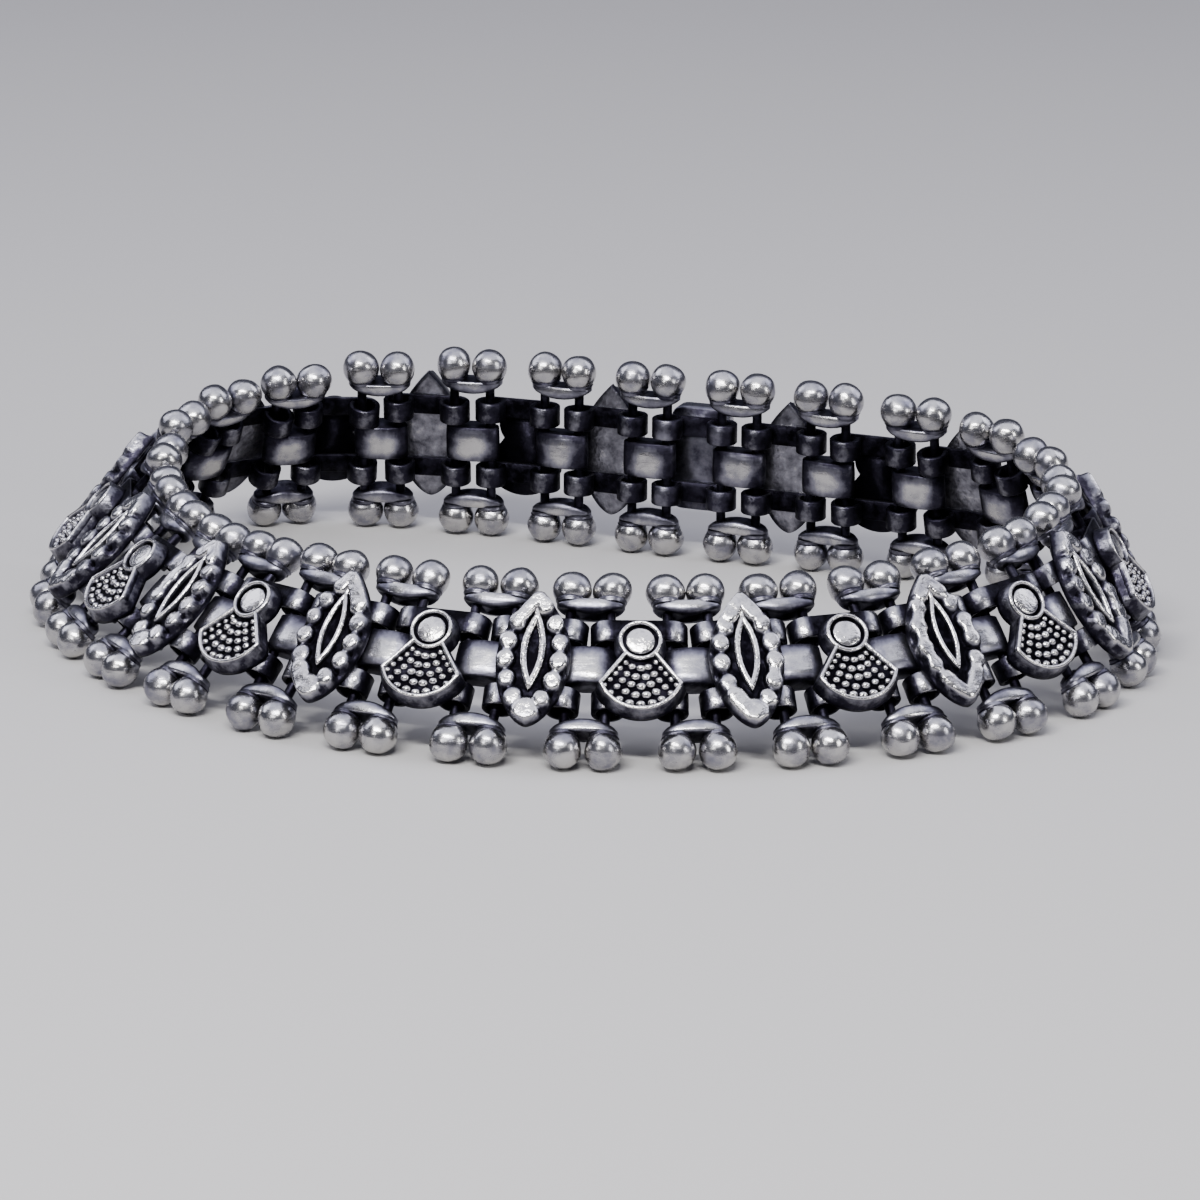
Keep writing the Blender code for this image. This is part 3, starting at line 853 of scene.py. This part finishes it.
def marquise(cast, chance):
    """All the shapes of one marquise link."""
    net, height = marquise_face(cast, chance)
    loops = [at_depth(row, FACE_FLOOR + rise) for row, rise in zip(net, height)]
    wear = FACE_WEAR * np.clip((height - WEAR_FROM) / WEAR_SPAN, 0, 1)
    wear[-EDGE_ROWS:] = np.maximum(wear[-EDGE_ROWS:], EDGE_WEAR)
    for inset, outward, rubbed in MARQUISE_WALL:
        outline = pointed_oval(MARQUISE_HALF_HEIGHT - inset, MARQUISE_HALF_WIDTH - inset, AROUND, BLUNT)
        loops.append(at_depth(outline, outward))
        wear = np.vstack((wear, np.full(AROUND, rubbed)))
    points, faces, _ = lofted(loops, np.zeros(len(loops)))
    wire = cast.wire * chance.uniform(0.95, 1.05)
    stem = np.column_stack((np.zeros(6), np.linspace(RING_RISE + RING_HALF_HEIGHT - 0.1, STEM_END, 6)))
    ring = pointed_oval(RING_HALF_HEIGHT, RING_HALF_WIDTH * chance.uniform(0.92, 1.08), 64)
    return [(points, faces, wear.ravel()),
            rim(ring + (0.0, RING_RISE), True, wire, FACE_FLOOR - RIM_SINK, FACE_FLOOR + RING_TOP),
            rim(stem, False, wire, FACE_FLOOR - RIM_SINK, FACE_FLOOR + STEM_TOP)] + straps


for number in range(1, 15):
    name = f"marquise_{number:02d}"
    shapes = marquise(CASTS[(number - 1) % len(CASTS)], random.Random(100 + number))
    pieced(name + "_silver", shapes, link_places[2 * number - 2], oxidised_silver, name)
print("marquise links: 14 with", made["marquise_01_silver"], "triangles each")

# %% [markdown]
# ## Fan links
# The second link is a round head over a fan. A thin rim runs round both, over a wall that
# widens a little to the back. The outline is worked out once, as an arc for the head, an arc
# for the foot and two straight sides, and every layer is that outline grown by a margin. A
# scaled copy would be simpler, but a margin keeps the rim equally wide all round.

# %% Outline of head and fan
HEAD_RADIUS, HEAD_HEIGHT = 1.50, 1.22
NECK = 1.12
FAN_HALF = 2.85
TIP_DROP, FOOT_DROP = 2.05, 4.07
HEAD_STEPS, FOOT_STEPS, SIDE_STEPS = 44, 40, 8
sag = FOOT_DROP - TIP_DROP
foot_radius = (FAN_HALF ** 2 + sag ** 2) / (2 * sag)
foot_centre = foot_radius - FOOT_DROP
foot_reach = math.asin(min(1.0, FAN_HALF / foot_radius))


def head_and_fan(margin):
    """The whole outline, grown by a margin."""
    radius = HEAD_RADIUS + margin
    neck = math.acos(min(1.0, (NECK + margin) / radius))
    head = arc((0.0, HEAD_HEIGHT), radius, -neck, math.pi + neck, HEAD_STEPS)
    foot = arc((0.0, foot_centre), foot_radius + margin,
               -math.pi / 2 - foot_reach, -math.pi / 2 + foot_reach, FOOT_STEPS)
    right_side = np.linspace(foot[-1], head[0], SIDE_STEPS)[1:-1]
    left_side = np.linspace(head[-1], foot[0], SIDE_STEPS)[1:-1]
    return np.vstack((head, left_side, foot, right_side))


print("outline points:", len(head_and_fan(0.0)))

# %% [markdown]
# ## Granules
# Granules are grains of silver melted into balls and soldered side by side, in rows that
# follow the fan's foot. Each is a small dome of its own, set along its row at even steps with
# a little of the hand's unevenness. One bump texture could suggest them all, but their edges
# would not catch the light as these do.

# %% Rows of granules
FAN_FLOOR = 1.93
GRANULE = 0.265
ROWS, FIRST_ROW = 5, 5
SIDE_MARGIN = 0.42
ROW_ENDS, ROW_MIDDLES = (0.35, 2.08), (0.80, 3.55)
DOME_ANGLES, DOME_RISE, DOME_SINK = (0.0, 0.4, 0.8, 1.2), 1.05, 0.02
# Size and stretch along the row, at a row's ends and what its middle adds, and random pushes.
END_SIZE, MIDDLE_SIZE = 0.84, 0.26
END_STRETCH, MIDDLE_STRETCH = 1.06, 0.16
STRAY_X, STRAY_Z, SIZE_RANGE = 0.04, 0.03, (0.94, 1.06)


def granules(chance):
    """Rows of small domes in the fan, each row one longer and the middle ones the largest."""
    shapes = []
    slope = (FAN_HALF - NECK) / TIP_DROP
    for row in range(ROWS):
        share = row / (ROWS - 1)
        end_drop = ROW_ENDS[0] + (ROW_ENDS[1] - ROW_ENDS[0]) * share
        middle_drop = ROW_MIDDLES[0] + (ROW_MIDDLES[1] - ROW_MIDDLES[0]) * share
        half = NECK + slope * end_drop - SIDE_MARGIN
        bend = middle_drop - end_drop
        radius = (half ** 2 + bend ** 2) / (2 * bend)
        spread = math.asin(min(1.0, half / radius))
        count = FIRST_ROW + row
        for i in range(count):
            along = 2 * i / (count - 1) - 1
            inner = math.cos(along * math.pi / 2)
            turn = -math.pi / 2 + spread * along
            x = radius * math.cos(turn) + chance.uniform(-STRAY_X, STRAY_X)
            z = radius - middle_drop + radius * math.sin(turn) + chance.uniform(-STRAY_Z, STRAY_Z)
            size = GRANULE * (END_SIZE + MIDDLE_SIZE * inner) * chance.uniform(*SIZE_RANGE)
            dome = [(size * math.cos(angle), FAN_FLOOR - DOME_SINK + DOME_RISE * size * math.sin(angle),
                     min(1.0, 1.45 * math.sin(angle) - 0.05)) for angle in DOME_ANGLES]
            dome.append((0, FAN_FLOOR - DOME_SINK + DOME_RISE * size, 1.0))
            points, faces, wear = turned(dome, (0, 0, z), 12, outward=True)
            points[:, 0] = x + points[:, 0] * (END_STRETCH + MIDDLE_STRETCH * inner)
            shapes.append((points, faces, wear))
    return shapes


print("granules in a fan:", len(granules(random.Random(0))))

# %% [markdown]
# ## A whole fan link
# The head holds a flat disc with a rounded edge, in a groove that stays black, so it reads as
# a bright coin in a dark ring. The floor of both fields is one black sheet.

# %% Cast the fan links
RIM_TOP, RIM_HALF = 2.36, 0.14
FLOOR_MARGIN = -0.08
# Rows of the wall, from back to front: margin, distance outwards, wear.
FAN_WALL = ((0.30, BACK, 0.2), (0.24, 1.35, 0.3), (0.12, 1.75, 0.4), (0.02, RIM_TOP - 0.25, 0.5),
            (-0.10, RIM_TOP - 0.12, 0.6))
# Rows of the disc: radius, distance outwards, wear.
DISC_ROWS = ((1.02, FAN_FLOOR - 0.05, 0.0), (1.01, 2.08, 0.4), (0.97, 2.16, 0.9), (0.88, 2.20, 1.0),
             (0.5, 2.24, 1.0), (0, 2.25, 1.0))


def fan(chance):
    """All the shapes of one fan link."""
    wall = lofted([at_depth(head_and_fan(margin), outward) for margin, outward, _ in FAN_WALL],
                  [rubbed for _, _, rubbed in FAN_WALL], (True, False))
    field = at_depth(head_and_fan(FLOOR_MARGIN), FAN_FLOOR)
    floor = field, [tuple(range(len(field)))], np.zeros(len(field))
    head_path = arc((0.0, HEAD_HEIGHT), HEAD_RADIUS - RIM_HALF, 0.0, 2 * math.pi, 56)[:-1]
    outline = head_and_fan(-RIM_HALF)
    fan_path = np.vstack((outline[HEAD_STEPS:], outline[:1]))
    disc = turned(DISC_ROWS, (0, 0, HEAD_HEIGHT), 40, outward=True)
    return [wall, floor, rim(head_path, True, RIM_HALF, FAN_FLOOR - RIM_SINK, RIM_TOP),
            rim(fan_path, False, RIM_HALF, FAN_FLOOR - RIM_SINK, RIM_TOP), disc] + granules(chance) + straps


for number in range(1, 14):
    name = f"fan_{number:02d}"
    station = 2 * number - 1
    if station >= CLASP_STATION:
        station += 2
    pieced(name + "_silver", fan(random.Random(200 + number)), link_places[station], oxidised_silver, name)
print("fan links: 13 with", made["fan_01_silver"], "triangles each")

# %% [markdown]
# ## The clasp
# A plain box clasp takes the place of one fan at the far side. It is a small box of sheet
# with rounded edges on the same two straps. Its outline is a rounded rectangle, drawn in at
# the front for the bevel.

# %% A box of sheet
CLASP_HALF_WIDTH, CLASP_HALF_HEIGHT, CLASP_POWER = 2.30, 4.0, 0.3
# Rows of the box, from back to front: inset, distance outwards, wear.
CLASP_ROWS = ((0.10, BACK, 0.4), (0.0, BACK + 0.1, 0.7), (0.0, 2.62, 0.85), (0.04, 2.71, 0.95),
              (0.14, 2.76, 0.95))


def clasp():
    """The shapes of the clasp."""
    loops = []
    for inset, outward, _ in CLASP_ROWS:
        half_height = CLASP_HALF_HEIGHT - inset
        outline = rounded(2 * (CLASP_HALF_WIDTH - inset), half_height, half_height, CLASP_POWER, 64)
        loops.append(at_depth(outline, outward))
    return [lofted(loops, [rubbed for _, _, rubbed in CLASP_ROWS])] + straps


pieced("clasp_silver", clasp(), link_places[CLASP_STATION], polished_silver, "clasp")
print("pieces:", len(made), "triangles in all:", sum(made.values()))

# %% [markdown]
# ## Floor and light
# Silver shows what surrounds it, so the room matters as much as the metal. A plain pale floor
# carries the bracelet, 0.02 mm below the solids' lowest point. Six soft boxes light it. A broad
# one overhead and one at each side fill the flat faces with a cool white. A long narrow one in
# front puts the bright band on each ball, and two small ones at the front left and right add
# the short sparks beside it. The room beyond is left dim, so that the metal keeps its dark
# side. One bright room all round would be simpler, but silver would turn flat and white in it.

# %% Floor
FLOOR_HALF = 3
FLOOR_GAP = 0.02 * MM
floor_mesh = bpy.data.meshes.new("floor")
floor_mesh.from_pydata([(-FLOOR_HALF, -FLOOR_HALF, 0), (FLOOR_HALF, -FLOOR_HALF, 0),
                        (FLOOR_HALF, FLOOR_HALF, 0), (-FLOOR_HALF, FLOOR_HALF, 0)], [], [(0, 1, 2, 3)])
floor = bpy.data.objects.new("floor", floor_mesh)
bpy.context.scene.collection.objects.link(floor)
floor.location.z = -FLOOR_GAP
paper = bpy.data.materials.new("pale_paper")
paper.use_nodes = True
paper_shader = paper.node_tree.nodes["Principled BSDF"]
paper_shader.inputs["Base Color"].default_value = linear("#A9A7A6")
paper_shader.inputs["Roughness"].default_value = 0.85
floor_mesh.materials.append(paper)
print("floor:", 2 * FLOOR_HALF, "m wide")

# %% Lights
WHITE, COOL_WHITE = "#FFFFFF", "#ECEEFF"


def soft_light(name, place, target, size, power, colour=WHITE):
    """A soft box at a place, turned to a target."""
    data = bpy.data.lights.new(name, "AREA")
    data.shape = "RECTANGLE"
    data.size, data.size_y = size
    data.energy = power
    data.color = linear(colour)[:3]
    lamp = bpy.data.objects.new(name, data)
    bpy.context.scene.collection.objects.link(lamp)
    lamp.location = place
    lamp.rotation_euler = (Vector(target) - Vector(place)).to_track_quat("-Z", "Y").to_euler()


soft_light("overhead", (0.0, 0.04, 0.36), (0, 0.02, 0), (0.50, 0.44), 1.25, COOL_WHITE)
soft_light("front_band", (-0.05, -0.25, 0.32), (0, -0.02, 0), (0.26, 0.04), 2.8)
soft_light("front_left", (-0.22, -0.40, 0.24), (0, -0.02, 0), (0.16, 0.08), 0.5)
soft_light("front_right", (0.34, -0.22, 0.16), (0, 0, 0), (0.06, 0.16), 0.5)
soft_light("left", (-0.32, 0.12, 0.28), (0, 0, 0), (0.24, 0.24), 0.6, COOL_WHITE)
soft_light("right", (0.32, 0.12, 0.28), (0, 0, 0), (0.24, 0.24), 0.6, COOL_WHITE)
world = bpy.data.worlds.new("room")
world.use_nodes = True
world.node_tree.nodes["Background"].inputs["Color"].default_value = linear("#707388")
world.node_tree.nodes["Background"].inputs["Strength"].default_value = 0.45
bpy.context.scene.world = world

# %% [markdown]
# ## Camera
# The camera stands in front of the leaning side, low and far away behind a long lens, which
# keeps the links the same size along the band. It is placed as a photographer would say it: a
# point to aim at, a distance, how far round to the right, how high, and a slight roll. A camera
# that tracks an empty would do nearly the same, but it would have no roll.

# %% Camera
AIM = Vector((0.901, -2.561, 3.894)) * MM
AIM_DISTANCE = 0.43
ROUND_DEGREES, HIGH_DEGREES, ROLL_DEGREES = 2.725, 16.699, 0.519
camera_data = bpy.data.cameras.new("camera")
camera_data.lens = 180.0
camera_data.sensor_width = 36.0
camera_data.clip_start = 0.01
camera = bpy.data.objects.new("camera", camera_data)
bpy.context.scene.collection.objects.link(camera)
turn = Matrix.Rotation(math.radians(ROUND_DEGREES), 4, "Z") \
    @ Matrix.Rotation(math.radians(90 - HIGH_DEGREES), 4, "X") \
    @ Matrix.Rotation(math.radians(ROLL_DEGREES), 4, "Z")
camera.matrix_world = Matrix.Translation(AIM) @ turn @ Matrix.Translation((0, 0, AIM_DISTANCE))
bpy.context.scene.camera = camera
print("camera at", [round(value, 4) for value in camera.location])
